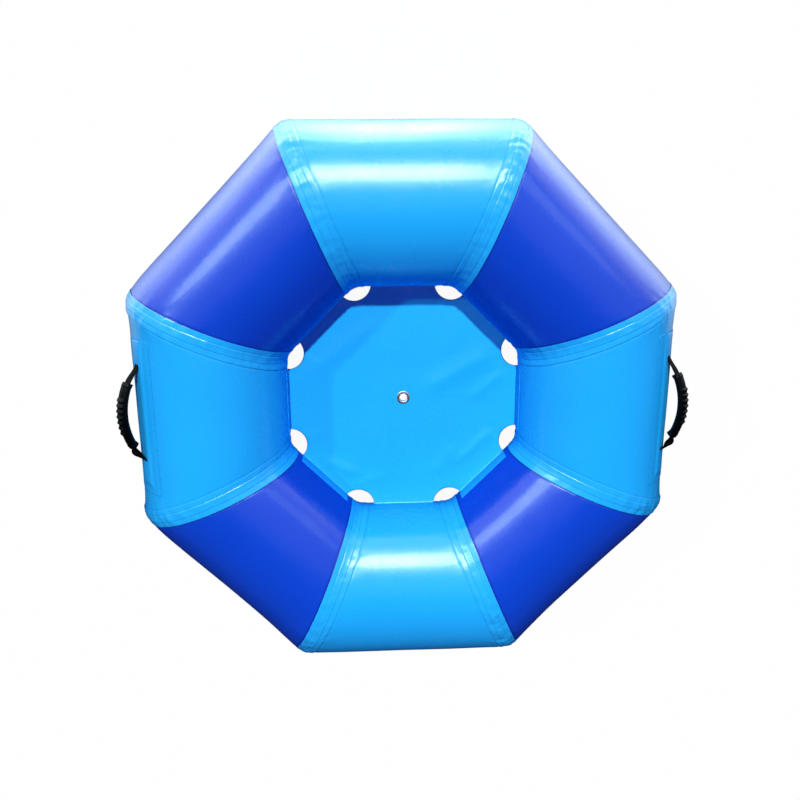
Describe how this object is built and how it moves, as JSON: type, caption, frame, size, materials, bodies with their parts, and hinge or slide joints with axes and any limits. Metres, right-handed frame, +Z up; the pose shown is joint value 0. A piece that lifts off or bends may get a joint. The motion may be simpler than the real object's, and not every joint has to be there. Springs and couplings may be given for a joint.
{
  "type": "river tube",
  "caption": "Inflatable octagonal river tube: mitred tube panels, taped seams, sunken floor with drain holes and centre eyelet, moulded carry handles, air valve.",
  "frame": {"origin": "on the ground under the middle of the ring", "axes": "+Z up, +Y towards the rear panel that carries the valve, +X towards the right handle"},
  "size_m": [1.214, 1.202, 0.3424],
  "materials": {
    "cyan_fabric": "glossy vinyl-coated fabric, cyan blue, welded",
    "royal_fabric": "glossy vinyl-coated fabric, royal blue, welded",
    "black_webbing": "woven polyester webbing, black",
    "black_rubber": "moulded rubber, satin black",
    "nickel": "nickel-plated brass, bright",
    "black_nylon": "injection-moulded nylon, black",
    "seal_rubber": "soft seal rubber, matt",
    "spring_steel": "stainless spring wire"
  },
  "bodies": {
    "ring": {"tube_panel_right": "cyan_fabric", "tube_panel_rear_right": "royal_fabric", "tube_panel_rear": "cyan_fabric", "tube_panel_rear_left": "royal_fabric", "tube_panel_left": "cyan_fabric", "tube_panel_front_left": "royal_fabric", "tube_panel_front": "cyan_fabric", "tube_panel_front_right": "royal_fabric", "seam_tape_1": "cyan_fabric", "seam_tape_2": "cyan_fabric", "seam_tape_3": "cyan_fabric", "seam_tape_4": "cyan_fabric", "seam_tape_5": "cyan_fabric", "seam_tape_6": "cyan_fabric", "seam_tape_7": "cyan_fabric", "seam_tape_8": "cyan_fabric", "floor_sheet": "cyan_fabric", "eyelet": "nickel", "eyelet_washer": "nickel", "left_handle_patch": "cyan_fabric", "left_webbing_front_tail": "black_webbing", "left_webbing_rear_tail": "black_webbing", "right_handle_patch": "cyan_fabric", "right_webbing_front_tail": "black_webbing", "right_webbing_rear_tail": "black_webbing", "valve_body": "black_nylon", "valve_gasket": "seal_rubber", "valve_nut": "black_nylon", "valve_stem_guide": "black_nylon", "valve_spring": "spring_steel", "valve_leash_ring": "black_nylon"},
    "left_handle": {"left_webbing": "black_webbing", "left_grip": "black_rubber"},
    "right_handle": {"right_webbing": "black_webbing", "right_grip": "black_rubber"},
    "valve_lid": {"valve_cap": "black_nylon"},
    "plunger": {"valve_plunger": "black_nylon", "valve_seal": "seal_rubber"}
  },
  "joints": [
    {"name": "left_handle_swing", "type": "hinge", "parent": "ring", "child": "left_handle", "pos_m": [-0.57201, 0.01, 0.28017], "axis": [0, -1, 0], "range_deg": [-45, 45]},
    {"name": "right_handle_swing", "type": "hinge", "parent": "ring", "child": "right_handle", "pos_m": [0.57201, 0.01, 0.28017], "axis": [0, 1, 0], "range_deg": [-45, 45]},
    {"name": "valve_cap_flip", "type": "hinge", "parent": "ring", "child": "valve_lid", "pos_m": [0, 0.57098, 0.06209], "axis": [-1, 0, 0], "range_deg": [0, 150]},
    {"name": "valve_plunger_push", "type": "slide", "parent": "ring", "child": "plunger", "axis": [0, -0.866, 0.5], "range_m": [0, 0.0045], "stiffness_N_per_m": 500, "springref_m": -0.004, "deforming": ["valve_spring"]}
  ]
}
